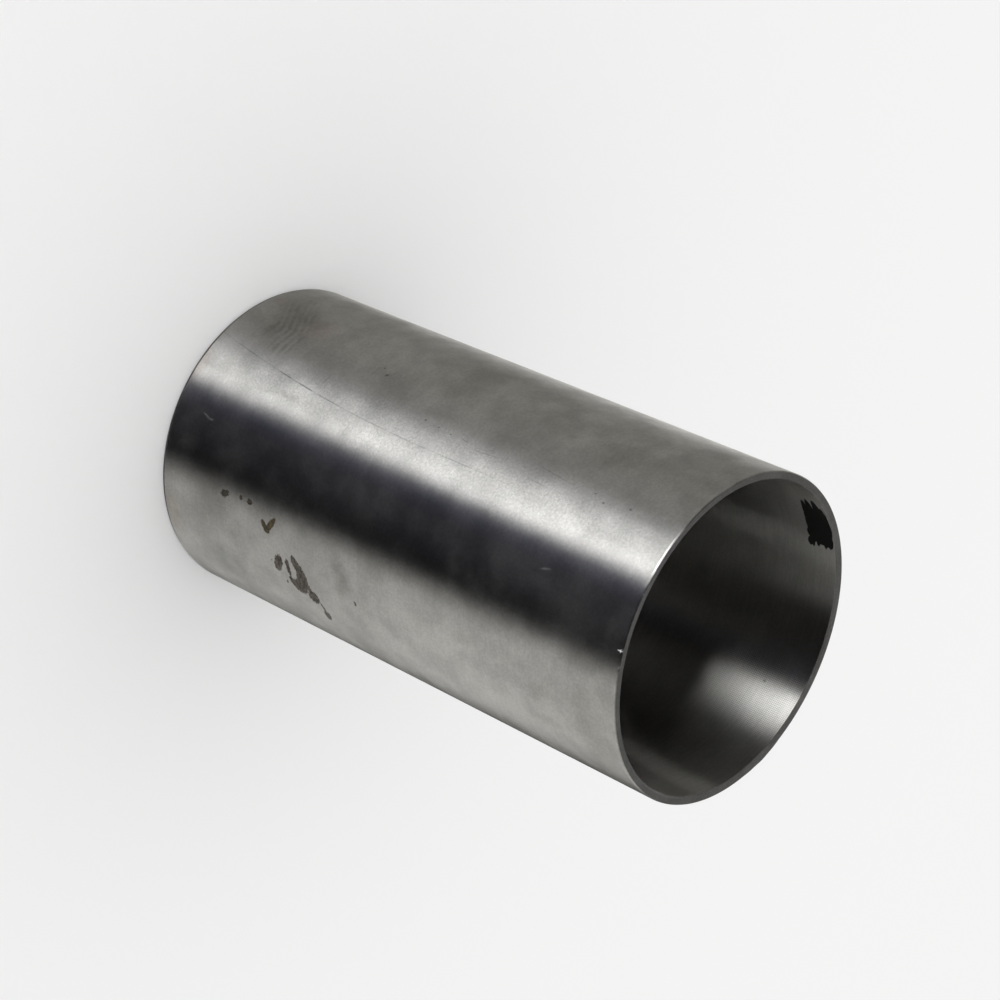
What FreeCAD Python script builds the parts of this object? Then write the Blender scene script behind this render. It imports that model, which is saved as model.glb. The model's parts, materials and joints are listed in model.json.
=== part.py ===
import FreeCAD, Part
import Sketcher

import math
import os

# Cylinder liner: one thin-walled dry liner, turned from a cast tube and open at both ends.
# It stands on its lower end, with +Z up along the bore and the origin at the centre of
# that end face.

# Name, size and meaning of each driving dimension, in millimetres and degrees
SIZES = [
    ("outer_diameter", 95.25, "ground outside, a press fit in the block"),
    ("wall_thickness", 2.38, "wall between the ground outside and the honed bore"),
    ("liner_length", 181.0, "from the lower end face to the upper one"),
    ("lead_in_length", 1.0, "height of the taper that starts the liner into the block"),
    ("lead_in_angle", 20.0, "slope of that taper from the outside wall"),
    ("rim_break", 0.3, "broken edge around the outside of the upper end"),
    ("upper_bore_chamfer", 0.5, "chamfer that guides the piston rings into the bore"),
    ("lower_bore_chamfer", 0.5, "chamfer at the lower mouth of the bore"),
]

OUTPUT_FOLDER = "parts"
VOLUME_TOLERANCE = 1e-6
PLACE_TOLERANCE = 1e-4


def make_sheet(doc):
    """Write the driving dimensions into a spreadsheet, one row each."""
    sheet = doc.addObject("Spreadsheet::Sheet", "Sizes")
    for row, (alias, value, meaning) in enumerate(SIZES, start=1):
        sheet.set(f"A{row}", alias)
        sheet.set(f"B{row}", str(value))
        sheet.set(f"C{row}", meaning)
        sheet.setAlias(f"B{row}", alias)
    doc.recompute()
    return sheet


def origin_plane(body, role):
    """Return one of the body's own origin planes by its role."""
    for feature in body.Origin.OriginFeatures:
        if feature.Role == role:
            return feature
    raise RuntimeError(f"no origin plane {role}")


def draw_wall_section(body, sizes):
    """Draw the section of the plain wall: a rectangle beside the Z axis."""
    outer = sizes.outer_diameter / 2
    inner = outer - sizes.wall_thickness
    corners = [
        FreeCAD.Vector(inner, 0, 0),
        FreeCAD.Vector(outer, 0, 0),
        FreeCAD.Vector(outer, sizes.liner_length, 0),
        FreeCAD.Vector(inner, sizes.liner_length, 0),
    ]

    sketch = body.newObject("Sketcher::SketchObject", "WallSection")
    sketch.AttachmentSupport = [(origin_plane(body, "XZ_Plane"), "")]
    sketch.MapMode = "FlatFace"

    # Lines in order: lower end face, outside, upper end face, bore
    lower, outside, upper, bore = range(4)
    for start, end in zip(corners, corners[1:] + corners[:1]):
        sketch.addGeometry(Part.LineSegment(start, end), False)
    for line, following in ((lower, outside), (outside, upper), (upper, bore), (bore, lower)):
        sketch.addConstraint(Sketcher.Constraint("Coincident", line, 2, following, 1))
    for line in (lower, upper):
        sketch.addConstraint(Sketcher.Constraint("Horizontal", line))
    for line in (outside, bore):
        sketch.addConstraint(Sketcher.Constraint("Vertical", line))

    # The lower end face lies on the sketch's horizontal axis
    sketch.addConstraint(Sketcher.Constraint("PointOnObject", lower, 1, -1))
    named = [
        ("outer_radius", Sketcher.Constraint("DistanceX", -1, 1, outside, 1, outer),
         "Sizes.outer_diameter / 2"),
        ("wall", Sketcher.Constraint("DistanceX", lower, 1, lower, 2, sizes.wall_thickness),
         "Sizes.wall_thickness"),
        ("length", Sketcher.Constraint("DistanceY", outside, 1, outside, 2, sizes.liner_length),
         "Sizes.liner_length"),
    ]
    for name, constraint, expression in named:
        index = sketch.addConstraint(constraint)
        sketch.renameConstraint(index, name)
        sketch.setExpression(f"Constraints.{name}", expression)
    return sketch


def circle_edge(shape, radius, height):
    """Return the name of the round edge of the given radius at the given height."""
    for index, edge in enumerate(shape.Edges, start=1):
        if not isinstance(edge.Curve, Part.Circle):
            continue
        if (abs(edge.Curve.Radius - radius) < PLACE_TOLERANCE
                and abs(edge.Curve.Center.z - height) < PLACE_TOLERANCE):
            return f"Edge{index}"
    raise RuntimeError(f"no round edge of radius {radius} at height {height}")


def bevel(doc, body, name, edge_name, size_expression):
    """Cut an even bevel on one round edge of the body's last feature."""
    base = body.Tip
    feature = body.newObject("PartDesign::Chamfer", name)
    feature.Base = (base, [edge_name])
    feature.ChamferType = "Equal distance"
    feature.setExpression("Size", size_expression)
    body.Tip = feature
    doc.recompute()
    return feature


def cut_lead_in(doc, body, sizes):
    """Turn the taper at the outside of the lower end, as a groove of triangular section."""
    sketch = body.newObject("Sketcher::SketchObject", "LeadInSection")
    sketch.AttachmentSupport = [(origin_plane(body, "XZ_Plane"), "")]
    sketch.MapMode = "FlatFace"

    outer = sizes.outer_diameter / 2
    depth = sizes.lead_in_length * math.tan(math.radians(sizes.lead_in_angle))
    foot = FreeCAD.Vector(outer - depth, 0, 0)
    corner = FreeCAD.Vector(outer, 0, 0)
    top = FreeCAD.Vector(outer, sizes.lead_in_length, 0)

    # Lines in order: the part cut from the end face, the outside, and the taper itself
    end_line, outside, taper = range(3)
    for start, end in ((foot, corner), (corner, top), (top, foot)):
        sketch.addGeometry(Part.LineSegment(start, end), False)
    for line, following in ((end_line, outside), (outside, taper), (taper, end_line)):
        sketch.addConstraint(Sketcher.Constraint("Coincident", line, 2, following, 1))
    sketch.addConstraint(Sketcher.Constraint("Vertical", outside))
    sketch.addConstraint(Sketcher.Constraint("Horizontal", end_line))
    sketch.addConstraint(Sketcher.Constraint("PointOnObject", end_line, 1, -1))
    named = [
        ("outer_radius", Sketcher.Constraint("DistanceX", -1, 1, outside, 1, outer),
         "Sizes.outer_diameter / 2"),
        ("height", Sketcher.Constraint("DistanceY", outside, 1, outside, 2, sizes.lead_in_length),
         "Sizes.lead_in_length"),
        ("depth", Sketcher.Constraint("DistanceX", end_line, 1, end_line, 2, depth),
         "Sizes.lead_in_length * tan(Sizes.lead_in_angle * 1 deg)"),
    ]
    for name, constraint, expression in named:
        index = sketch.addConstraint(constraint)
        sketch.renameConstraint(index, name)
        sketch.setExpression(f"Constraints.{name}", expression)
    doc.recompute()

    groove = body.newObject("PartDesign::Groove", "LeadIn")
    groove.Profile = sketch
    groove.ReferenceAxis = (sketch, ["V_Axis"])
    groove.Angle = 360.0
    body.Tip = groove
    doc.recompute()
    return groove


def make_liner(doc, sizes):
    """Build the liner: turn the wall, then taper and chamfer its ends."""
    body = doc.addObject("PartDesign::Body", "Liner")
    body.Label = "cylinder_liner"
    section = draw_wall_section(body, sizes)
    doc.recompute()

    wall = body.newObject("PartDesign::Revolution", "Wall")
    wall.Profile = section
    wall.ReferenceAxis = (section, ["V_Axis"])
    wall.Angle = 360.0
    body.Tip = wall
    doc.recompute()

    cut_lead_in(doc, body, sizes)

    outer = sizes.outer_diameter / 2
    inner = outer - sizes.wall_thickness
    top = sizes.liner_length
    bevel(doc, body, "RimBreak", circle_edge(body.Shape, outer, top), "Sizes.rim_break")
    bevel(doc, body, "UpperBoreChamfer", circle_edge(body.Shape, inner, top),
          "Sizes.upper_bore_chamfer")
    bevel(doc, body, "LowerBoreChamfer", circle_edge(body.Shape, inner, 0.0),
          "Sizes.lower_bore_chamfer")

    body.Placement = FreeCAD.Placement()
    return body


def ring_volume(inner, outer, height):
    """Volume of a plain ring."""
    return math.pi * (outer ** 2 - inner ** 2) * height


def triangle_ring_volume(corner_radius, depth, height, outside):
    """Volume that a bevel takes off: its triangle's area times the path of its centroid."""
    shift = -depth / 3 if outside else depth / 3
    return depth * height / 2 * 2 * math.pi * (corner_radius + shift)


def expected_volume(sizes):
    """Volume of the plain wall less its taper and its three bevels."""
    outer = sizes.outer_diameter / 2
    inner = outer - sizes.wall_thickness
    lead_in_depth = sizes.lead_in_length * math.tan(math.radians(sizes.lead_in_angle))
    volume = ring_volume(inner, outer, sizes.liner_length)
    volume -= triangle_ring_volume(outer, lead_in_depth, sizes.lead_in_length, True)
    volume -= triangle_ring_volume(outer, sizes.rim_break, sizes.rim_break, True)
    for chamfer in (sizes.upper_bore_chamfer, sizes.lower_bore_chamfer):
        volume -= triangle_ring_volume(inner, chamfer, chamfer, False)
    return volume


def check(doc, body, sizes):
    """Stop if any object failed, the solid isn't sound, or a cut removed the wrong amount."""
    for item in doc.Objects:
        if "Invalid" in item.State or "Error" in item.State:
            raise RuntimeError(f"{item.Label} failed: {item.State}")
    shape = body.Shape
    if shape.isNull() or not shape.isValid() or len(shape.Solids) != 1:
        raise RuntimeError(f"{body.Label} is not one valid solid")
    wanted = expected_volume(sizes)
    if abs(shape.Volume - wanted) > VOLUME_TOLERANCE * wanted:
        raise RuntimeError(f"{body.Label}: volume {shape.Volume:.3f}, expected {wanted:.3f}")
    box = shape.BoundBox
    print(f"{body.Label}: {box.XLength:.3f} x {box.YLength:.3f} x {box.ZLength:.3f} mm,"
          f" volume {shape.Volume:.1f} mm3, {len(shape.Faces)} faces")


def main():
    """Build the document, check it and write the part's solid."""
    doc = FreeCAD.newDocument("CylinderLiner")
    sizes = make_sheet(doc)
    liner = make_liner(doc, sizes)
    doc.recompute()
    check(doc, liner, sizes)
    os.makedirs(OUTPUT_FOLDER, exist_ok=True)
    liner.Shape.exportStep(os.path.join(OUTPUT_FOLDER, f"{liner.Label}.step"))


main()
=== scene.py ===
"""A dry cylinder liner, standing on its lower end in a plain studio.

The mesh is in metres. Every size named here is in millimetres, or in metres where its name ends
in _m. A place on a wall is given by its bearing, in degrees from +Y towards +X, and by its height
above the lower end.
"""

import json
import logging
import math
from dataclasses import dataclass, field, replace
from enum import Enum

import bpy
import numpy as np
from mathutils import Matrix, Vector

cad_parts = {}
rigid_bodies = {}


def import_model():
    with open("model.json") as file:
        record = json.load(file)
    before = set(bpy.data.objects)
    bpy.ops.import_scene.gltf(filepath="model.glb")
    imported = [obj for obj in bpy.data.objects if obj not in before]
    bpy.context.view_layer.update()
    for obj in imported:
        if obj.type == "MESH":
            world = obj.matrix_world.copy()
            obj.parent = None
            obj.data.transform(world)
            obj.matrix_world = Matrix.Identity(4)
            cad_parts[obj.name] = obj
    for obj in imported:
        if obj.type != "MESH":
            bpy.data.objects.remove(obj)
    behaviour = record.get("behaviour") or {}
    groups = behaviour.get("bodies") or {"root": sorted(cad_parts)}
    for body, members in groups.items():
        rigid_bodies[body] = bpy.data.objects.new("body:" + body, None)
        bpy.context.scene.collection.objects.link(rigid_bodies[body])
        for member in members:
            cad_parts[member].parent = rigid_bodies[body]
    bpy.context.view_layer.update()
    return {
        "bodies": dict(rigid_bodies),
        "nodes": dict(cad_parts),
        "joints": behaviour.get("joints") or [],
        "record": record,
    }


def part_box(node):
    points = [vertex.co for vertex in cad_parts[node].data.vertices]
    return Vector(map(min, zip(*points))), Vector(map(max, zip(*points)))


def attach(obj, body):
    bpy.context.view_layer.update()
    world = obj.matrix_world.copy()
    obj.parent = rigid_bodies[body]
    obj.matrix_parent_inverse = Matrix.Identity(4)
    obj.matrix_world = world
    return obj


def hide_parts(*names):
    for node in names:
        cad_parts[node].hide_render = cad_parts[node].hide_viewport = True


LOG = logging.getLogger("liner")

MM = 0.001
MICRON = MM * MM
HALF_TURN = 180.0
QUARTER_TURN = 0.25
NODE = "cylinder_liner"
BODY = "root"
WALL_MAP = "wall"

# A noise strays about a quarter from its middle, and this brings that to about one
JITTER_GAIN = 4
NOISE_MIDDLE = (0.5, 0.5, 0.5)

# The values of a noise between which a pattern goes from one end of its range to the other
WIDE_SPAN = (0.25, 0.75)
NOISE_SPAN = (0.3, 0.7)
CLOUD_SPAN = (0.35, 0.65)
PATCHY_SPAN = (0.35, 0.6)
GRAIN_SPAN = (0.36, 0.62)
GAP_SPAN = (0.36, 0.56)
FLECK_SPAN = (0.34, 0.50)
FILM_SPAN = (0.42, 0.70)

# A stain's colour sets in this many times faster than it takes the metal away
COLOUR_LEAD = 3.0

Colour = tuple[float, float, float]
Socket = bpy.types.NodeSocket
Number = float | Socket


class Finish(Enum):
    """The machined finishes, each with its material slot on the mesh."""

    GROUND = 0
    HONED = 1
    TURNED = 2


class Graph:
    """Writes a node tree with short calls, so that a finish reads like a formula."""

    def __init__(self, tree: bpy.types.NodeTree) -> None:
        """Start from an empty tree."""
        self.tree = tree
        tree.nodes.clear()

    def node(self, kind: str, **settings: object) -> bpy.types.Node:
        """Add a node and set its properties.

        Args:
            kind: The node's type name.
            settings: Properties of the node, by name.

        Returns:
            The new node.
        """
        made = self.tree.nodes.new(kind)
        for name, value in settings.items():
            setattr(made, name, value)
        return made

    def feed(self, socket: Socket, value: object) -> None:
        """Link a socket to a socket, or set its value.

        Args:
            socket: The input to feed.
            value: Another socket, or a value that suits the input.
        """
        if isinstance(value, bpy.types.NodeSocket):
            self.tree.links.new(value, socket)
        else:
            socket.default_value = value

    def math(self, operation: str, *values: Number) -> Socket:
        """Return the result of a Math node.

        Args:
            operation: The node's operation.
            values: One, two or three numbers or sockets.

        Returns:
            The result's socket.
        """
        made = self.node("ShaderNodeMath", operation=operation)
        for socket, value in zip(made.inputs, values):
            self.feed(socket, value)
        return made.outputs[0]

    def chain(self, operation: str, *values: Number) -> Socket:
        """Return an operation carried through two or more numbers, such as their product.

        Args:
            operation: A Math operation on two numbers.
            values: The numbers or sockets, in order.

        Returns:
            The last result's socket.
        """
        result = values[0]
        for value in values[1:]:
            result = self.math(operation, result, value)
        return result

    def ramp(self, value: Number, start: Number, end: Number, low: Number = 0.0,
             high: Number = 1.0) -> Socket:
        """Return a smooth step from low at start to high at end.

        Args:
            value: The number that is placed on the step.
            start: Where the step starts.
            end: Where it ends.
            low: The result up to its start.
            high: The result from its end on.

        Returns:
            The result's socket.
        """
        made = self.node("ShaderNodeMapRange", interpolation_type="SMOOTHSTEP", clamp=True)
        for name, number in (("Value", value), ("From Min", start), ("From Max", end),
                             ("To Min", low), ("To Max", high)):
            self.feed(made.inputs[name], number)
        return made.outputs["Result"]

    def vector(self, operation: str, *values: object) -> Socket:
        """Return the vector that a Vector Math node makes.

        Args:
            operation: The node's operation.
            values: Sockets or plain vectors.

        Returns:
            The vector's socket.
        """
        made = self.node("ShaderNodeVectorMath", operation=operation)
        for socket, value in zip(made.inputs, values):
            self.feed(socket, value)
        return made.outputs["Vector"]

    def brighten(self, colour: object, gain: Number) -> Socket:
        """Return a colour, or another vector, times a number.

        Args:
            colour: A socket or three numbers.
            gain: The number to multiply by.

        Returns:
            The product's socket.
        """
        made = self.node("ShaderNodeVectorMath", operation="SCALE")
        self.feed(made.inputs[0], colour)
        self.feed(made.inputs["Scale"], gain)
        return made.outputs[0]

    def noise(self, vector: Socket, scale: float, detail: float = 2.0, roughness: float = 0.5,
              output: str = "Fac") -> Socket:
        """Return noise of about 0 to 1 at a vector.

        Args:
            vector: Where the noise is read.
            scale: Features per unit of the vector.
            detail: Octaves.
            roughness: Strength of each octave after the first.
            output: Fac for one number, Color for three independent ones.

        Returns:
            The noise's socket.
        """
        made = self.node("ShaderNodeTexNoise")
        self.feed(made.inputs["Vector"], vector)
        for name, number in (("Scale", scale), ("Detail", detail), ("Roughness", roughness)):
            made.inputs[name].default_value = number
        return made.outputs[output]

    def blend(self, factor: Number, first: object, second: object, mode: str = "MIX") -> Socket:
        """Return a mix of two colours.

        Args:
            factor: How far the mix goes from the first colour, from 0 to 1.
            first: A socket or three numbers.
            second: A socket or three numbers.
            mode: How they mix, such as MIX or MULTIPLY.

        Returns:
            The mixed colour's socket.
        """
        made = self.node("ShaderNodeMix", data_type="RGBA", blend_type=mode)
        colours = [socket for socket in made.inputs if socket.type == "RGBA"]
        self.feed(made.inputs[0], factor)
        for socket, value in zip(colours, (first, second)):
            self.feed(socket, (*value, 1.0) if isinstance(value, tuple) else value)
        return next(socket for socket in made.outputs if socket.type == "RGBA")

    def between(self, factor: Number, first: Number, second: Number) -> Socket:
        """Return the number that lies the given share of the way from first to second."""
        step = self.math("SUBTRACT", second, first)
        return self.math("MULTIPLY_ADD", step, factor, first)


class Wall:
    """Where a shaded point lies on a wall of the liner, in millimetres and degrees."""

    def __init__(self, graph: Graph, radius: float) -> None:
        """Derive bearing, height and unrolled place from the object's own coordinates.

        Args:
            graph: The finish's node graph.
            radius: The wall's radius.
        """
        place = graph.node("ShaderNodeTexCoord").outputs["Object"]
        self.point = graph.brighten(place, 1 / MM)
        parts = graph.node("ShaderNodeSeparateXYZ")
        graph.feed(parts.inputs[0], self.point)
        turn = graph.math("ARCTAN2", parts.outputs[0], parts.outputs[1])
        self.radius = radius
        self.bearing = graph.math("DEGREES", turn)
        self.height = parts.outputs[2]
        self.arc = graph.math("MULTIPLY", turn, radius)
        sheet = graph.node("ShaderNodeCombineXYZ")
        graph.feed(sheet.inputs[0], self.arc)
        graph.feed(sheet.inputs[1], self.height)
        self.sheet = sheet.outputs[0]


@dataclass
class Look:
    """What the shader is given: each a socket or a plain value."""

    colour: object
    metal: Number
    roughness: Number
    relief: list[tuple[Number, float]] = field(default_factory=list)


@dataclass(frozen=True)
class Patch:
    """An oval mark on a wall, with half-sizes round the wall and up it, turned by an angle."""

    bearing: float
    height: float
    half_round: float
    half_up: float
    turn: float = 0.0

    def reach(self, graph: Graph, sheet: Socket, radius: float) -> Socket:
        """Return 0 at the patch's middle, 1 on its edge and more beyond it.

        Args:
            graph: The finish's node graph.
            sheet: The shaded point's place on the unrolled wall.
            radius: The wall's radius.

        Returns:
            The reach's socket.
        """
        made = graph.node("ShaderNodeMapping", vector_type="TEXTURE")
        graph.feed(made.inputs["Vector"], sheet)
        middle = math.radians(self.bearing) * radius
        made.inputs["Location"].default_value = (middle, self.height, 0.0)
        made.inputs["Rotation"].default_value = (0.0, 0.0, math.radians(self.turn))
        made.inputs["Scale"].default_value = (self.half_round, self.half_up, 1.0)
        length = graph.node("ShaderNodeVectorMath", operation="LENGTH")
        graph.feed(length.inputs[0], made.outputs[0])
        return length.outputs["Value"]


@dataclass(frozen=True)
class Stain:
    """Marks of one kind: where they are, how ragged they are and what they do to the metal."""

    patches: tuple[Patch, ...]
    colour: Colour
    strength: float = 1.0
    soft: float = 0.3
    ragged: float = 0.0
    ragged_scale: float = 1.0
    fibre: float = 1.0
    cover: bool = False
    dark_colour: Colour | None = None
    grain_scale: float = 1.5
    bite: float = 0.0

    def drawn(self, graph: Graph, wall: Wall) -> Socket:
        """Return the point with X and Y shortened, so that noise on it is drawn out sideways."""
        along = 1.0 / self.fibre
        return graph.vector("MULTIPLY", wall.point, (along, along, 1.0))

    def mask(self, graph: Graph, wall: Wall) -> Socket:
        """Return how much of the metal the marks cover at a point, from 0 to 1.

        The place is shifted by noise, for a ragged edge, and the nearest patch's reach then
        falls through a smooth step about its edge. Bite takes flecks out of the cover. Fibre
        draws the noise and the shift out round the wall, along the grinding lines.

        Args:
            graph: The finish's node graph.
            wall: The shaded point's place.

        Returns:
            The cover's socket.
        """
        sheet = wall.sheet
        if self.ragged > 0.0:
            jitter = graph.noise(self.drawn(graph, wall), self.ragged_scale, 3.0, 0.6, "Color")
            jitter = graph.vector("SUBTRACT", jitter, NOISE_MIDDLE)
            reach = JITTER_GAIN * self.ragged
            jitter = graph.vector("MULTIPLY", jitter, (reach * self.fibre, reach, 0.0))
            sheet = graph.vector("ADD", sheet, jitter)
        reaches = [patch.reach(graph, sheet, wall.radius) for patch in self.patches]
        nearest = graph.chain("MINIMUM", *reaches)
        cover = graph.ramp(nearest, 1.0 - self.soft, 1.0 + self.soft, 1.0, 0.0)
        if self.bite > 0.0:
            fleck = graph.noise(self.drawn(graph, wall), self.grain_scale, 4.0, 0.6)
            kept = graph.ramp(fleck, *FLECK_SPAN, 1.0 - self.bite, 1.0)
            cover = graph.math("MULTIPLY", cover, kept)
        return graph.math("MULTIPLY", cover, self.strength)

    def lay(self, graph: Graph, wall: Wall, look: Look) -> Look:
        """Return the look with the marks on it: a cover hides the metal, the rest tints it.

        Args:
            graph: The finish's node graph.
            wall: The shaded point's place.
            look: The look so far.

        Returns:
            The new look.
        """
        share = self.mask(graph, wall)
        if not self.cover:
            tinted = graph.blend(1.0, look.colour, self.colour, "MULTIPLY")
            return replace(look, colour=graph.blend(share, look.colour, tinted))
        colour: object = self.colour
        if self.dark_colour:
            grain = graph.noise(self.drawn(graph, wall), self.grain_scale, 4.0, 0.65)
            colour = graph.blend(graph.ramp(grain, *GRAIN_SPAN), self.dark_colour, self.colour)
        # The colour runs ahead of the loss of metal, or a stain's edge would shine as pale paint
        ahead = graph.math("MINIMUM", graph.math("MULTIPLY", share, COLOUR_LEAD), 1.0)
        return replace(look, colour=graph.blend(ahead, look.colour, colour),
                       metal=graph.between(share, look.metal, 0.0))


@dataclass(frozen=True)
class Scratch:
    """A fine curved line along the wall: bearing = middle + bend * (1 - height / flat) ** 2.

    It runs straight above the height flat, and fades out between the heights of top_fade. The
    dashes are each a height, a half-length and a strength.
    """

    middle: float = -37.6
    bend: float = 10.8
    flat: float = 93.7
    half_width: float = 0.17
    strength: float = 0.5
    between_dashes: float = 0.9
    dashes: tuple[tuple[float, float, float], ...] = (
        (33.0, 2.2, 2.0), (42.8, 2.5, 1.8), (52.0, 3.2, 1.3))
    dash_soft: float = 1.0
    gap_scale: float = 0.16
    gap_strength: float = 0.45
    top_fade: tuple[float, float] = (95.0, 150.0)
    darkened_to: float = 0.3

    def lay(self, graph: Graph, wall: Wall, look: Look) -> Look:
        """Return the look with the line on it, broken by noise, with dark dashes on its way.

        Args:
            graph: The finish's node graph.
            wall: The shaded point's place.
            look: The look so far.

        Returns:
            The new look.
        """
        rise = graph.math("SUBTRACT", 1.0, graph.math("DIVIDE", wall.height, self.flat))
        rise = graph.math("MAXIMUM", rise, 0.0)
        course = graph.math("MULTIPLY_ADD", graph.math("MULTIPLY", rise, rise), self.bend,
                            self.middle)
        apart = graph.math("ABSOLUTE", graph.math("SUBTRACT", wall.bearing, course))
        apart = graph.math("MULTIPLY", apart, math.radians(1.0) * wall.radius)
        line = graph.ramp(apart, 0.0, 2 * self.half_width, 1.0, 0.0)
        gaps = graph.noise(wall.point, self.gap_scale, 3.0)
        broken = graph.ramp(gaps, *GAP_SPAN, self.gap_strength, 1.0)
        depth: Number = self.between_dashes
        for middle, half, extra in self.dashes:
            away = graph.math("ABSOLUTE", graph.math("SUBTRACT", wall.height, middle))
            dash = graph.ramp(away, half, half + self.dash_soft, extra, 0.0)
            depth = graph.math("MAXIMUM", depth, dash)
        fade = graph.ramp(wall.height, *self.top_fade, 1.0, 0.0)
        share = graph.chain("MULTIPLY", line, broken, depth, fade, self.strength)
        dark = graph.brighten(look.colour, self.darkened_to)
        return replace(look, colour=graph.blend(share, look.colour, dark))


@dataclass(frozen=True)
class RibbedPrint:
    """A smudge of fine ribs, as a gloved finger leaves them, bent half-way along.

    The pitch is measured up the wall. Past the bearing bend_from a rib's height falls by bend
    for each millimetre round the wall, and its strength goes down to bent_share.
    """

    pitch: float = 2.5
    first_height: float = 28.1
    bend_from: float = -14.5
    bend: float = 0.7
    strength: float = 0.42
    bent_share: float = 0.5
    bent_fully: float = 2.5
    wobble: float = 2.0
    wobble_scale: float = 0.30
    patchy_scale: float = 0.35
    patchy_least: float = 0.4
    darkened_to: float = 0.35
    zones: tuple[Patch, ...] = (
        Patch(-20.0, 23.5, 5.6, 5.2),
        Patch(-11.0, 19.5, 8.0, 6.5, -38.0),
        Patch(-1.0, 13.0, 7.0, 5.5, -38.0),
    )

    def lay(self, graph: Graph, wall: Wall, look: Look) -> Look:
        """Return the look with the ribs: waves in the height, shifted where the print bends.

        Args:
            graph: The finish's node graph.
            wall: The shaded point's place.
            look: The look so far.

        Returns:
            The new look.
        """
        past = graph.math("SUBTRACT", wall.arc, math.radians(self.bend_from) * wall.radius)
        past = graph.math("MULTIPLY", graph.math("MAXIMUM", past, 0.0), self.bend)
        wobble = graph.noise(wall.point, self.wobble_scale, 3.0)
        wobble = graph.math("MULTIPLY", wobble, self.wobble)
        phase = graph.chain("ADD", wall.height, past, wobble)
        phase = graph.math("MULTIPLY", graph.math("SUBTRACT", phase, self.first_height),
                           2 * math.pi / self.pitch)
        wave = graph.math("MULTIPLY_ADD", graph.math("COSINE", phase), 0.5, 0.5)
        zone = Stain(self.zones, (0.0, 0.0, 0.0), soft=0.35, ragged=0.8, ragged_scale=0.25)
        patchy = graph.noise(wall.point, self.patchy_scale, 3.0)
        patchy = graph.ramp(patchy, *PATCHY_SPAN, self.patchy_least, 1.0)
        weaker = graph.ramp(past, 0.0, self.bent_fully, 1.0, self.bent_share)
        share = graph.chain("MULTIPLY", zone.mask(graph, wall), wave, patchy, weaker,
                            self.strength)
        dark = graph.brighten(look.colour, self.darkened_to)
        return replace(look, colour=graph.blend(share, look.colour, dark))


@dataclass(frozen=True)
class Shimmer:
    """A fine pattern in patches on one stretch of a wall: crossed lines, or a grain.

    The pitch of crossed lines is measured up the wall. They lean by 45 degrees either way.
    """

    zone: Patch
    depth: float
    pitch: float
    crossed: bool = False

    def pattern(self, graph: Graph, wall: Wall) -> Socket:
        """Return -1 to 1: sine * sine of two crossed sets of lines, or a grain of noise.

        Args:
            graph: The finish's node graph.
            wall: The shaded point's place.

        Returns:
            The pattern's socket.
        """
        if not self.crossed:
            grain = graph.noise(wall.point, 1 / self.pitch, 1.0)
            return graph.ramp(grain, *WIDE_SPAN, -1.0, 1.0)
        waves = []
        for lean in (1.0, -1.0):
            along = graph.math("MULTIPLY_ADD", wall.arc, lean, wall.height)
            phase = graph.math("MULTIPLY", along, 2 * math.pi / self.pitch)
            waves.append(graph.math("SINE", phase))
        return graph.math("MULTIPLY", *waves)

    def lay(self, graph: Graph, wall: Wall, look: Look) -> Look:
        """Return the look with its colour times 1 + depth * pattern, in parts of the zone.

        Args:
            graph: The finish's node graph.
            wall: The shaded point's place.
            look: The look so far.

        Returns:
            The new look.
        """
        zone = Stain((self.zone,), (0.0, 0.0, 0.0), strength=self.depth, soft=0.5, ragged=1.5,
                     ragged_scale=0.2, grain_scale=0.3, bite=0.6)
        change = graph.math("MULTIPLY", zone.mask(graph, wall), self.pattern(graph, wall))
        gain = graph.math("ADD", change, 1.0)
        return replace(look, colour=graph.brighten(look.colour, gain))


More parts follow.
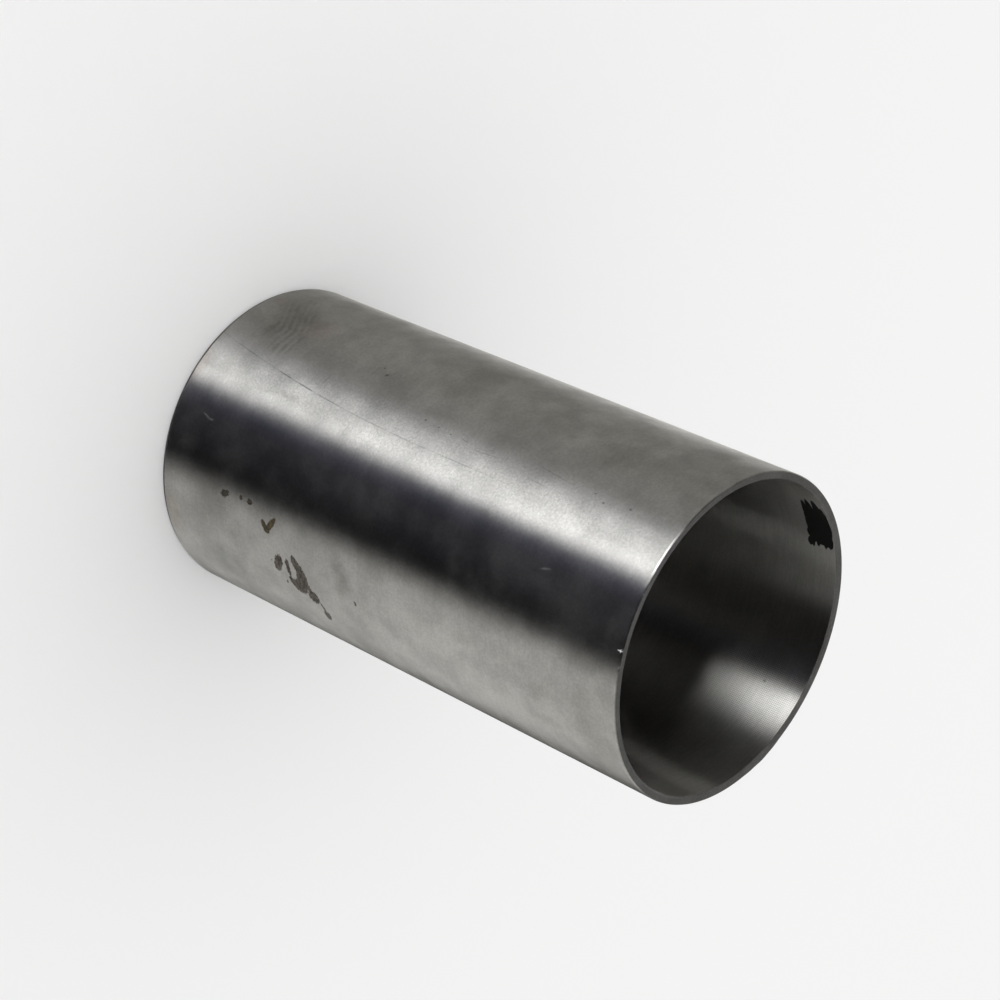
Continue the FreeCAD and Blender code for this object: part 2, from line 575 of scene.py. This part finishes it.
@dataclass(frozen=True)
class MachinedIron:
    """Bare machined iron: a mirror along its tool lines that blurs across them."""

    name: str
    colour: Colour
    roughness: float
    anisotropy: float
    radius: float
    line_scale: float = 1.2
    line_depth: float = 0.025
    line_shortening: float = 0.035
    line_relief: float = 0.15
    grain_scale: float = 1.3
    grain_depth: float = 0.07
    cloud_scale: float = 0.085
    cloud_depth: float = 0.17
    sheen_scale: float = 0.12
    sheen_depth: float = 0.12
    relief_um: float = 12.0
    film_scale: float = 0.085
    film: float = 0.029
    film_floor: float = 0.0
    stain_gloss: float = 0.05
    marks: tuple[Stain | Scratch | RibbedPrint | Shimmer, ...] = ()

    def bare(self, graph: Graph, wall: Wall) -> Look:
        """Return the clean metal's look: tool lines, fine grain, dull clouds and a thin film.

        Args:
            graph: The finish's node graph.
            wall: The shaded point's place.

        Returns:
            The look without marks.
        """
        drawn = (self.line_shortening, self.line_shortening, 1.0)
        lines = graph.noise(graph.vector("MULTIPLY", wall.point, drawn), self.line_scale, 4.0, 0.65)
        grain = graph.noise(wall.point, self.grain_scale, 2.0, 0.6)
        cloud = graph.noise(wall.point, self.cloud_scale, 4.0, 0.6)
        gain = graph.chain(
            "MULTIPLY",
            graph.ramp(lines, *NOISE_SPAN, 1.0 - self.line_depth, 1.0 + self.line_depth),
            graph.ramp(grain, *NOISE_SPAN, 1.0 - self.grain_depth, 1.0 + self.grain_depth),
            graph.ramp(cloud, *CLOUD_SPAN, 1.0 - self.cloud_depth, 1.0),
        )
        dust = graph.noise(wall.point, self.film_scale, 6.0, 0.72)
        bright = graph.ramp(dust, *FILM_SPAN, 1.0 - self.film_floor,
                            1.0 - self.film_floor - self.film)
        sheen = graph.noise(wall.point, self.sheen_scale, 6.0, 0.75)
        blur = graph.ramp(sheen, *NOISE_SPAN, 1.0 - self.sheen_depth, 1.0 + self.sheen_depth)
        return Look(graph.brighten(self.colour, gain), bright,
                    graph.math("MULTIPLY", blur, self.roughness),
                    [(grain, self.relief_um), (lines, self.line_relief * self.relief_um)])

    def build(self) -> bpy.types.Material:
        """Make the material: the bare look, its marks in order, then the shader.

        Returns:
            The material.
        """
        material = bpy.data.materials.new(self.name)
        material.use_nodes = True
        graph = Graph(material.node_tree)
        wall = Wall(graph, self.radius)
        look = self.bare(graph, wall)
        for mark in self.marks:
            look = mark.lay(graph, wall, look)
        shader = graph.node("ShaderNodeBsdfPrincipled")
        graph.feed(shader.inputs["Base Color"], look.colour)
        graph.feed(shader.inputs["Metallic"], look.metal)
        graph.feed(shader.inputs["Roughness"], look.roughness)
        shader.inputs["Specular IOR Level"].default_value = self.stain_gloss
        shader.inputs["Anisotropic"].default_value = self.anisotropy
        shader.inputs["Anisotropic Rotation"].default_value = QUARTER_TURN
        tangent = graph.node("ShaderNodeTangent", direction_type="UV_MAP", uv_map=WALL_MAP)
        graph.feed(shader.inputs["Tangent"], tangent.outputs[0])
        weighed = [graph.math("MULTIPLY", height, weight) for height, weight in look.relief]
        bump = graph.node("ShaderNodeBump")
        graph.feed(bump.inputs["Height"], graph.chain("ADD", *weighed))
        bump.inputs["Strength"].default_value = 1.0
        bump.inputs["Distance"].default_value = MICRON
        graph.feed(shader.inputs["Normal"], bump.outputs[0])
        out = graph.node("ShaderNodeOutputMaterial")
        graph.feed(out.inputs["Surface"], shader.outputs[0])
        return material


RUST = Stain(
    patches=(
        Patch(-107.2, 64.2, 2.0, 2.0),
        Patch(-103.4, 62.5, 2.2, 0.9, -40.0),
        Patch(-104.7, 59.0, 2.3, 2.8),
        Patch(-100.8, 60.6, 3.2, 2.1),
        Patch(-97.0, 59.7, 3.4, 1.5, -42.0),
        Patch(-94.6, 58.2, 1.8, 0.9, -30.0),
        Patch(-104.3, 56.4, 2.0, 1.0, -40.0),
        Patch(-98.5, 55.1, 2.7, 0.75, -10.0),
        Patch(-99.6, 50.6, 2.0, 1.4, 19.0),
        Patch(-97.4, 51.3, 2.0, 1.5, 30.0),
        Patch(-105.5, 53.3, 0.7, 0.3),
        Patch(-98.6, 48.1, 0.4, 0.25),
    ),
    colour=(0.116, 0.103, 0.089),
    dark_colour=(0.047, 0.041, 0.034),
    soft=0.22,
    ragged=0.42,
    ragged_scale=2.2,
    fibre=1.8,
    cover=True,
    strength=0.97,
    grain_scale=1.1,
    bite=0.45,
)
FAINT_RUST = Stain(
    patches=(
        Patch(-114.0, 67.6, 1.6, 1.1),
        Patch(-110.4, 66.9, 1.5, 0.4, -20.0),
        Patch(-100.0, 83.0, 0.5, 0.4),
    ),
    colour=(0.150, 0.140, 0.125),
    dark_colour=(0.085, 0.078, 0.068),
    soft=0.4,
    ragged=0.25,
    ragged_scale=1.6,
    fibre=2.0,
    cover=True,
    strength=0.88,
    bite=0.5,
)
ORANGE_RUST = Stain(
    patches=(
        Patch(-84.7, 48.4, 3.0, 0.9, 36.5),
        Patch(-85.9, 45.8, 1.8, 0.85, -35.0),
        Patch(-87.0, 47.0, 1.1, 1.1),
    ),
    colour=(0.092, 0.070, 0.040),
    dark_colour=(0.042, 0.039, 0.031),
    soft=0.22,
    ragged=0.26,
    ragged_scale=1.9,
    cover=True,
    strength=0.97,
    grain_scale=0.9,
)
DARK_RUST = Stain(
    patches=(
        Patch(-79.9, 39.2, 0.75, 0.85),
        Patch(-79.8, 35.4, 0.5, 0.5),
        Patch(-81.2, 28.0, 0.85, 1.1),
        Patch(-80.3, 29.3, 0.6, 0.6),
    ),
    colour=(0.070, 0.062, 0.050),
    dark_colour=(0.036, 0.032, 0.026),
    soft=0.7,
    ragged=0.4,
    ragged_scale=1.0,
    cover=True,
    strength=1.0,
)
SMUDGES = Stain(
    patches=(
        Patch(12.5, 171.5, 15.0, 11.0),
        Patch(26.0, 171.0, 7.0, 14.0),
        Patch(-88.8, 23.0, 7.0, 8.0),
        Patch(-92.5, 77.6, 5.0, 2.6),
    ),
    colour=(0.72, 0.72, 0.71),
    strength=0.85,
    soft=0.8,
    ragged=2.2,
    ragged_scale=0.12,
)
FAINT_SMUDGES = Stain(
    patches=(
        Patch(-8.5, 149.5, 5.0, 8.0),
        Patch(-97.5, 153.5, 3.0, 5.5),
        Patch(-110.0, 156.8, 2.2, 4.2),
        Patch(-109.0, 174.0, 22.0, 9.0),
        Patch(-91.5, 125.2, 2.6, 4.0),
        Patch(-79.0, 172.0, 3.0, 8.0),
        Patch(2.5, 90.0, 8.0, 12.0),
        Patch(-6.0, 20.0, 12.0, 12.0),
        Patch(17.0, 24.0, 12.0, 12.0),
        Patch(27.0, 18.0, 5.0, 24.0),
        Patch(28.0, 172.0, 6.0, 14.0),
    ),
    colour=(0.88, 0.88, 0.87),
    strength=1.0,
    soft=0.8,
    ragged=2.5,
    ragged_scale=0.1,
)
PALE_PATCHES = Stain(
    patches=(Patch(-102.0, 117.0, 15.0, 24.0),),
    colour=(1.11, 1.11, 1.11),
    soft=0.7,
    ragged=3.0,
    ragged_scale=0.08,
)
BLUE_SMUDGE = Stain(
    patches=(Patch(-112.0, 26.0, 6.5, 6.6),),
    colour=(0.83, 0.835, 0.855),
    strength=0.95,
    soft=0.6,
    ragged=1.4,
    ragged_scale=0.15,
)
PINK_SMUDGE = Stain(
    patches=(Patch(-9.5, 28.0, 4.5, 5.5, -30.0), Patch(-2.5, 4.5, 2.5, 2.2)),
    colour=(1.0, 0.93, 0.95),
    soft=0.5,
    ragged=0.8,
    ragged_scale=0.3,
)
PRINT_SHADE = Stain(
    patches=(Patch(-7.5, 14.0, 8.5, 6.5, -38.0), Patch(-18.0, 15.0, 3.0, 2.6)),
    colour=(0.78, 0.757, 0.735),
    strength=0.9,
    soft=0.7,
    ragged=1.2,
    ragged_scale=0.25,
)
BROWN_EDGE = Stain(
    patches=(
        Patch(-98.8, 3.5, 6.5, 3.6),
        Patch(-42.0, 1.0, 5.0, 3.0),
    ),
    colour=(0.82, 0.75, 0.70),
    strength=0.55,
    soft=0.7,
    ragged=0.8,
    ragged_scale=0.4,
)
# A faint bluish grey painted along the dark band near bearing -62: a painted cool reflection.
PAINTED_COOL_LIGHT = Stain(
    patches=(
        Patch(-66.0, 168.0, 13.0, 22.0),
        Patch(-60.0, 134.0, 5.5, 8.0),
        Patch(-61.0, 82.0, 7.0, 10.0),
        Patch(-62.0, 0.0, 14.0, 5.0),
    ),
    colour=(0.50, 0.50, 0.56),
    cover=True,
    strength=0.014,
    soft=0.9,
    ragged=3.5,
    ragged_scale=0.14,
)
PITS = Stain(
    patches=(
        Patch(-29.1, 163.5, 0.3, 0.4),
        Patch(-30.6, 155.1, 0.3, 0.4),
        Patch(-28.7, 151.1, 0.25, 0.35),
        Patch(-29.4, 98.1, 0.25, 0.3),
        Patch(-28.7, 92.9, 0.25, 0.3),
        Patch(-28.1, 87.3, 0.3, 0.35),
        Patch(-17.5, 63.4, 0.6, 0.45, 30.0),
        Patch(-14.9, 60.4, 0.3, 0.3),
        Patch(-99.4, 82.7, 0.35, 0.3),
    ),
    colour=(0.50, 0.49, 0.48),
    soft=0.6,
    ragged=0.1,
    ragged_scale=1.5,
)
FINE_SCRATCHES = Stain(
    patches=(
        Patch(-29.0, 47.3, 1.7, 0.16),
        Patch(-33.2, 133.2, 0.16, 2.2, 5.0),
        Patch(-29.5, 103.8, 0.16, 1.7, 8.0),
        Patch(-31.0, 112.0, 0.12, 5.0, -4.0),
        Patch(-28.0, 136.0, 0.12, 6.0, 6.0),
    ),
    colour=(0.72, 0.72, 0.72),
    soft=0.8,
)
# Small pale specks on the wall, and one painted glint: the thin patch on the upper rim edge near
# bearing -7.
LIGHT_SPECKS_AND_RIM_GLINT = Stain(
    patches=(
        Patch(-16.9, 161.6, 0.4, 0.5),
        Patch(-57.6, 13.4, 0.22, 1.2, 12.0),
        Patch(-58.4, 15.7, 0.34, 1.1, -8.0),
        Patch(-57.5, 149.5, 0.2, 1.4, -15.0),
        # Painted glint along the rounded upper rim edge
        Patch(-7.0, 180.75, 3.0, 0.15),
    ),
    colour=(0.30, 0.30, 0.31),
    strength=0.22,
    soft=0.6,
    ragged=0.2,
    ragged_scale=1.2,
    cover=True,
)
# A real nick in the upper outer edge (its dent is in the mesh), painted pale grey as a glint.
NICK_WITH_PAINTED_GLINT = Stain(
    patches=(Patch(-71.2, 180.1, 0.13, 0.75), Patch(-71.2, 180.3, 0.5, 0.12)),
    colour=(0.75, 0.75, 0.76),
    cover=True,
    soft=0.4,
)
INK = Stain(
    patches=(
        Patch(67.2, 173.0, 8.9, 1.3),
        Patch(65.9, 174.8, 9.3, 1.3),
        Patch(65.5, 177.3, 9.6, 1.5),
        Patch(67.2, 178.9, 7.9, 1.3),
        Patch(74.6, 179.2, 2.2, 0.9),
        Patch(62.6, 175.6, 2.9, 3.6),
        Patch(68.0, 176.0, 6.8, 4.3),
        Patch(72.8, 175.7, 3.2, 4.2),
        Patch(77.0, 172.0, 1.4, 0.8),
        Patch(75.6, 177.6, 1.3, 1.8),
    ),
    colour=(0.0092, 0.0090, 0.0089),
    soft=0.1,
    ragged=0.13,
    ragged_scale=0.9,
    cover=True,
)
BORE_FLECK = Stain(
    patches=(Patch(135.0, 167.8, 0.4, 0.5),),
    colour=(0.55, 0.55, 0.55),
    soft=0.5,
    ragged=0.1,
)
HONING_LINES = Shimmer(Patch(140.0, 170.0, 13.0, 20.0), 0.38, 1.15, crossed=True)
BAND_GRAIN = Shimmer(Patch(-38.0, 90.0, 9.0, 100.0), 0.13, 0.6)


@dataclass(frozen=True)
class Dent:
    """A knock on the upper outer edge: outwards where its depth is positive, inwards if not."""

    bearing: float
    half_width: float
    depth: float
    drop: float

    def push(self, bearing: np.ndarray, height_below: np.ndarray) -> np.ndarray:
        """Return how far the wall moves: a cosine hill round the edge that fades down the wall.

        Args:
            bearing: Bearings in degrees.
            height_below: Distance below the upper end.

        Returns:
            The outward move at each point.
        """
        across = np.clip(np.abs(bearing - self.bearing) / self.half_width, 0.0, 1.0)
        down = np.clip(height_below / self.drop, 0.0, 1.0)
        return self.depth * (0.5 + 0.5 * np.cos(np.pi * across)) * (1.0 - down) ** 2


@dataclass
class Liner:
    """The liner: a turned profile carried round the bore's axis."""

    outer_radius: float
    bore_radius: float
    length: float
    lead_in_length: float
    rim_break: float
    bore_chamfer: float
    lead_in_angle: float = 20.0
    edge_radius: float = 0.06
    worn_radius: float = 0.48
    worn_corner: int = 3
    turns: int = 1080
    arc_steps: int = 3
    row_reach: float = 0.45
    dents: tuple[Dent, ...] = (
        Dent(155.5, 5.0, 0.26, 3.0),
        Dent(161.0, 5.0, 0.40, 3.0),
        Dent(167.0, 5.0, 0.14, 2.5),
        Dent(-71.0, 0.45, -0.20, 1.0),
        Dent(-51.9, 0.7, -0.12, 0.8),
        Dent(-77.0, 0.6, -0.08, 0.8),
        Dent(-80.5, 0.5, -0.06, 0.8),
    )

    @classmethod
    def from_frame(cls, frame: dict) -> "Liner":
        """Read the sizes off the frame: the box of the solid and the mounts of the record.


        Returns:
            The liner, not yet built.
        """
        low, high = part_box(NODE)
        mounts = {mount["name"]: mount for mount in frame["record"]["mounts"]}
        bore, outside = mounts["bore"], mounts["outside"]
        length = (high.z - low.z) / MM
        middle = outside["pos_m"][2] / MM
        half = outside["dims"]["length_mm"] / 2
        return cls(
            outer_radius=min(high.x, high.y, -low.x, -low.y) / MM,
            bore_radius=bore["dims"]["r_mm"],
            length=length,
            lead_in_length=middle - half,
            rim_break=length - (middle + half),
            bore_chamfer=(length - bore["dims"]["length_mm"]) / 2,
        )

    def corners(self) -> np.ndarray:
        """Return the profile's corners, from the bore's lower mouth outwards.

        Returns:
            An array of (radius, height).
        """
        lead_in_depth = self.lead_in_length * math.tan(math.radians(self.lead_in_angle))
        outer, bore, top = self.outer_radius, self.bore_radius, self.length
        return np.array([
            (bore + self.bore_chamfer, 0.0),
            (outer - lead_in_depth, 0.0),
            (outer, self.lead_in_length),
            (outer, top - self.rim_break),
            (outer - self.rim_break, top),
            (bore + self.bore_chamfer, top),
            (bore, top - self.bore_chamfer),
            (bore, self.bore_chamfer),
        ])

    def spread(self, length: float) -> np.ndarray:
        """Return the shares of a straight stretch where it gets a row.

        A row stands close to each end, to hold the corner's shading, and the rest lie ever
        further apart towards the middle.

        Args:
            length: The stretch's length.

        Returns:
            The shares, from 0 to 1, in order.
        """
        offsets = np.array([0.08, 0.35, 0.9, 1.8, 3.2, 6.0, 12.0, 24.0, 48.0])
        near = offsets[offsets < length * self.row_reach] / length
        return np.concatenate([near, (1.0 - near)[::-1]])

    def profile(self) -> tuple[np.ndarray, np.ndarray]:
        """Return the profile's points, a closed loop, and the finish of the stretch after each.

        Each corner is an arc, tangent to both its sides: its points turn evenly about the
        arc's centre, from one side's normal to the other's. The corner between the ground
        outside and the rim break is worn rounder than the rest.

        Returns:
            An array of (radius, height) and an array of finish numbers.
        """
        corner = self.corners()
        before = corner - np.roll(corner, 1, axis=0)
        after = np.roll(corner, -1, axis=0) - corner
        before /= np.linalg.norm(before, axis=1, keepdims=True)
        after /= np.linalg.norm(after, axis=1, keepdims=True)
        turn = np.arctan2(before[:, 0] * after[:, 1] - before[:, 1] * after[:, 0],
                          (before * after).sum(axis=1))
        rounding = np.full(len(corner), self.edge_radius)
        rounding[self.worn_corner] = self.worn_radius
        back = rounding * np.tan(np.abs(turn) / 2)
        start = corner - before * back[:, None]
        inward = np.stack([-before[:, 1], before[:, 0]], axis=1)
        centre = start + inward * (np.sign(turn) * rounding)[:, None]
        angle = turn[:, None] * np.linspace(0.0, 1.0, self.arc_steps + 1)
        arm = (start - centre)[:, None, :]
        arc = centre[:, None, :] + np.stack([
            arm[..., 0] * np.cos(angle) - arm[..., 1] * np.sin(angle),
            arm[..., 0] * np.sin(angle) + arm[..., 1] * np.cos(angle)], axis=2)
        sides = [Finish.TURNED, Finish.TURNED, Finish.GROUND, Finish.GROUND,
                 Finish.TURNED, Finish.TURNED, Finish.HONED, Finish.TURNED]
        rows, finishes = [], []
        for index, points in enumerate(arc):
            following = arc[(index + 1) % len(arc)][0]
            steps = self.spread(float(np.linalg.norm(following - points[-1])))
            stretch = points[-1] + (following - points[-1]) * steps[:, None]
            rows.append(np.concatenate([points, stretch]))
            finishes += [sides[index].value] * (self.arc_steps + len(stretch) + 1)
        return np.concatenate(rows), np.array(finishes)

    def surface(self, rows: np.ndarray) -> np.ndarray:
        """Return the points of the grid: profile point j carried to the bearing i of the turn.

        x = r sin b, y = r cos b, z = height, where r is the profile's radius plus the dents'
        push, which is whole at the outer radius and nothing at the bore.

        Args:
            rows: The profile's points (radius, height).

        Returns:
            An array of turns by rows by (x, y, z).
        """
        bearing = np.linspace(-HALF_TURN, HALF_TURN, self.turns, endpoint=False)[:, None]
        radius, height = rows[None, :, 0], rows[None, :, 1]
        share = (radius - self.bore_radius) / (self.outer_radius - self.bore_radius)
        push = sum(dent.push(bearing, self.length - height) for dent in self.dents)
        reach = radius + push * np.clip(share, 0.0, 1.0)
        angle = np.radians(bearing)
        level = np.broadcast_to(height, reach.shape)
        return np.stack([reach * np.sin(angle), reach * np.cos(angle), level], axis=2)

    def mesh(self) -> bpy.types.Mesh:
        """Build the mesh, with a finish on each face and a map of (bearing, path).

        Returns:
            The mesh, in metres.
        """
        rows, finishes = self.profile()
        count = len(rows)
        points = self.surface(rows)
        turn, step = np.meshgrid(np.arange(self.turns), np.arange(count), indexing="ij")
        next_turn, next_step = (turn + 1) % self.turns, (step + 1) % count
        faces = np.stack([turn * count + step, turn * count + next_step,
                          next_turn * count + next_step, next_turn * count + step], axis=2)

        lengths = np.linalg.norm(np.roll(rows, -1, axis=0) - rows, axis=1)
        path = np.concatenate([[0.0], np.cumsum(lengths)]) / lengths.sum()
        left, right = turn / self.turns, (turn + 1) / self.turns
        low, high = path[step], path[step + 1]
        chart = np.stack([left, low, left, high, right, high, right, low], axis=2)

        mesh = bpy.data.meshes.new("liner")
        mesh.from_pydata((points.reshape(-1, 3) * MM).tolist(), [], faces.reshape(-1, 4).tolist())
        mesh.polygons.foreach_set("material_index", np.tile(finishes, self.turns))
        mesh.polygons.foreach_set("use_smooth", np.ones(self.turns * count, dtype=bool))
        layer = mesh.uv_layers.new(name=WALL_MAP)
        layer.data.foreach_set("uv", chart.reshape(-1).astype(np.float32))
        mesh.update()
        return mesh

    def finishes(self) -> tuple[MachinedIron, ...]:
        """Return the finishes in the order of their slots."""
        return (
            MachinedIron(
                "ground_iron", (0.545, 0.539, 0.520), 0.326, 0.99, self.outer_radius,
                marks=(BAND_GRAIN, PALE_PATCHES, FAINT_SMUDGES, SMUDGES, BLUE_SMUDGE, PINK_SMUDGE,
                       PRINT_SHADE, BROWN_EDGE, RibbedPrint(), FINE_SCRATCHES, Scratch(),
                       LIGHT_SPECKS_AND_RIM_GLINT, PITS, PAINTED_COOL_LIGHT, FAINT_RUST, RUST, ORANGE_RUST, DARK_RUST, NICK_WITH_PAINTED_GLINT),
            ),
            MachinedIron(
                "honed_iron", (0.485, 0.480, 0.461), 0.398, 1.0, self.bore_radius,
                line_scale=2.2, line_depth=0.06, grain_depth=0.05, cloud_depth=0.08,
                relief_um=6.0, film=0.004,
                marks=(HONING_LINES, BORE_FLECK, INK),
            ),
            MachinedIron(
                "turned_iron", (0.145, 0.142, 0.137), 0.42, 0.6, self.outer_radius,
                cloud_depth=0.15, grain_depth=0.1, relief_um=1.5, film=0.05, film_floor=0.58,
            ),
        )

    def build(self) -> bpy.types.Object:
        """Make the liner's object, dress it and let it stand for the solid.

        Returns:
            The object.
        """
        mesh = self.mesh()
        for finish in self.finishes():
            mesh.materials.append(finish.build())
        liner = bpy.data.objects.new("liner_wall", mesh)
        bpy.context.scene.collection.objects.link(liner)
        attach(liner, BODY)
        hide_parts(NODE)
        LOG.info("liner: %d faces", len(mesh.polygons))
        return liner


@dataclass(frozen=True)
class Card:
    """A soft-edged panel of light or grey that the bright metal mirrors.

    Start and end are bearings of its even part, beyond which it fades over the soft widths.
    Bottom and top are the elevations where it's at half strength.
    """

    start: float
    end: float
    start_soft: float
    end_soft: float
    level: float
    bottom: float
    top: float
    bottom_soft: float
    top_soft: float
    tint: Colour = (1.0, 1.0, 1.0)

    def light(self, graph: Graph, bearing: Socket, elevation: Socket) -> Socket:
        """Return this card's light: its level times a smooth window in both directions.

        Args:
            graph: The world's node graph.
            bearing: Bearing of the direction looked in, in degrees.
            elevation: Its elevation, in degrees.

        Returns:
            A colour socket.
        """
        middle = (self.start + self.end) / 2
        half = (self.end - self.start) / 2
        offset = graph.math("SUBTRACT", bearing, middle)
        offset = graph.math("WRAP", offset, -HALF_TURN, HALF_TURN)
        window = graph.chain(
            "MULTIPLY",
            graph.ramp(offset, -half - self.start_soft, -half),
            graph.ramp(offset, half, half + self.end_soft, 1.0, 0.0),
            graph.ramp(elevation, self.bottom - self.bottom_soft, self.bottom + self.bottom_soft),
            graph.ramp(elevation, self.top - self.top_soft, self.top + self.top_soft, 1.0, 0.0),
            self.level,
        )
        return graph.brighten(self.tint, window)


# The softbox has a broad upper part and a narrow lower one, which sets in about 9 degrees before
# it. The last three cards are faint and bluish.
SOFTBOX_LOW = Card(-39.4, -39.3, 6.9, 10.7, 16.1, -11.5, -4.0, 4.4, 7.5)
SOFTBOX_HIGH = Card(-37.3, -27.7, 0.3, 27.0, 16.25, 1.9, 20.9, 4.8, 1.0)
TABLE = Card(-174.0, -114.9, 29.0, 21.0, 1.05, -38.6, 9.3, 24.3, 24.3, (1.0, 0.993, 0.965))
BACKDROP = Card(-3.2, 128.3, 6.7, 21.4, 0.35, -62.7, 22.7, 2.4, 2.4, (1.0, 0.985, 0.925))
PALE_CORNER = Card(115.4, 117.4, 40.3, 3.7, 1.37, -42.0, 7.2, 1.0, 1.0, (1.0, 0.995, 0.98))
HIGH_WALL = Card(-178.0, -102.4, 46.0, 2.9, 0.31, -2.2, 52.0, 3.0, 8.0, (1.0, 0.993, 0.965))
GLOW = Card(-50.0, -44.0, 66.0, 20.0, 0.052, -80.0, 25.0, 8.0, 8.0, (0.97, 0.97, 1.16))
FRINGE = Card(-50.0, -45.0, 8.0, 5.0, 0.030, -80.0, 25.0, 8.0, 8.0, (0.0, 0.0, 1.0))
COOL_EDGE = Card(-12.0, 4.0, 10.0, 10.0, 0.016, -80.0, 25.0, 8.0, 8.0, (0.0, 0.0, 1.0))


@dataclass
class Studio:
    """Floor, light and camera."""

    floor_radius_m: float = 6.0
    floor_sides: int = 96
    floor_colour: Colour = (0.93, 0.93, 0.928)
    floor_roughness: float = 0.9
    dome_colour: Colour = (0.98, 0.98, 0.98)
    room_colour: Colour = (0.001, 0.001, 0.001)
    lens_mm: float = 93.42
    sensor_mm: float = 36.0
    camera_place_mm: tuple[float, float, float] = (-475.78, 349.22, 553.65)
    camera_heading: float = -35.382
    camera_pitch: float = -38.213
    camera_roll: float = 113.717
    nearest_seen_m: float = 0.01
    cards: tuple[Card, ...] = (
        SOFTBOX_LOW, SOFTBOX_HIGH, TABLE, BACKDROP, PALE_CORNER, HIGH_WALL, GLOW, FRINGE,
        COOL_EDGE)

    def lay_floor(self) -> bpy.types.Object:
        """Make the pale floor, a flat disc that the bright metal doesn't mirror.

        Returns:
            The floor's object.
        """
        mesh = bpy.data.meshes.new("floor")
        turns = np.linspace(0.0, 2 * np.pi, self.floor_sides, endpoint=False)
        ring = np.stack([np.cos(turns), np.sin(turns), 0 * turns], axis=1) * self.floor_radius_m
        mesh.from_pydata(ring.tolist(), [], [list(range(len(ring)))])
        floor = bpy.data.objects.new("floor", mesh)
        bpy.context.scene.collection.objects.link(floor)
        paper = bpy.data.materials.new("floor_paper")
        paper.use_nodes = True
        shader = paper.node_tree.nodes["Principled BSDF"]
        shader.inputs["Base Color"].default_value = (*self.floor_colour, 1.0)
        shader.inputs["Roughness"].default_value = self.floor_roughness
        shader.inputs["Specular IOR Level"].default_value = 0.0
        mesh.materials.append(paper)
        floor.visible_glossy = False
        return floor

    def light(self) -> None:
        """Light the room: an even dome for the floor, and soft cards that the metal mirrors."""
        world = bpy.data.worlds.new("studio")
        bpy.context.scene.world = world
        world.use_nodes = True
        world.cycles.sampling_method = "NONE"
        graph = Graph(world.node_tree)
        way = graph.node("ShaderNodeTexCoord").outputs["Generated"]
        parts = graph.node("ShaderNodeSeparateXYZ")
        graph.feed(parts.inputs[0], way)
        bearing = graph.math("DEGREES", graph.math("ARCTAN2", parts.outputs[0], parts.outputs[1]))
        elevation = graph.math("DEGREES", graph.math("ARCSINE", parts.outputs[2]))
        mirrored = graph.brighten(self.room_colour, 1.0)
        for card in self.cards:
            mirrored = graph.vector("ADD", mirrored, card.light(graph, bearing, elevation))
        path = graph.node("ShaderNodeLightPath")
        colour = graph.blend(path.outputs["Is Glossy Ray"], self.dome_colour, mirrored)
        sky = graph.node("ShaderNodeBackground")
        graph.feed(sky.inputs["Color"], colour)
        out = graph.node("ShaderNodeOutputWorld")
        graph.feed(out.inputs["Surface"], sky.outputs[0])

    def set_camera(self) -> None:
        """Place the camera by its heading, pitch and roll.

        The view direction is at the heading, turned down by the pitch. The picture's right is
        the level direction to the right of it, turned about the view by the roll.
        """
        heading, pitch, roll = (math.radians(angle) for angle in (
            self.camera_heading, self.camera_pitch, self.camera_roll))
        ahead = Vector((math.cos(pitch) * math.cos(heading),
                        math.cos(pitch) * math.sin(heading), math.sin(pitch)))
        level = ahead.cross(Vector((0.0, 0.0, 1.0))).normalized()
        above = level.cross(ahead)
        right = level * math.cos(roll) + above * math.sin(roll)
        up = right.cross(ahead)
        data = bpy.data.cameras.new("camera")
        data.lens = self.lens_mm
        data.sensor_width = self.sensor_mm
        data.clip_start = self.nearest_seen_m
        camera = bpy.data.objects.new("camera", data)
        turn = Matrix((right, up, -ahead)).transposed().to_4x4()
        camera.matrix_world = Matrix.Translation(Vector(self.camera_place_mm) * MM) @ turn
        bpy.context.scene.collection.objects.link(camera)
        bpy.context.scene.camera = camera

    def build(self) -> None:
        """Set up floor, light, camera and an even tone curve."""
        self.lay_floor()
        self.light()
        self.set_camera()
        bpy.context.scene.view_settings.view_transform = "Standard"
        LOG.info("studio: %d reflected cards", len(self.cards))


def main() -> None:
    """Build the liner around its frame, then the studio around the liner."""
    logging.basicConfig(level=logging.INFO)
    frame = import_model()
    Liner.from_frame(frame).build()
    Studio().build()


if __name__ == "__main__":
    main()
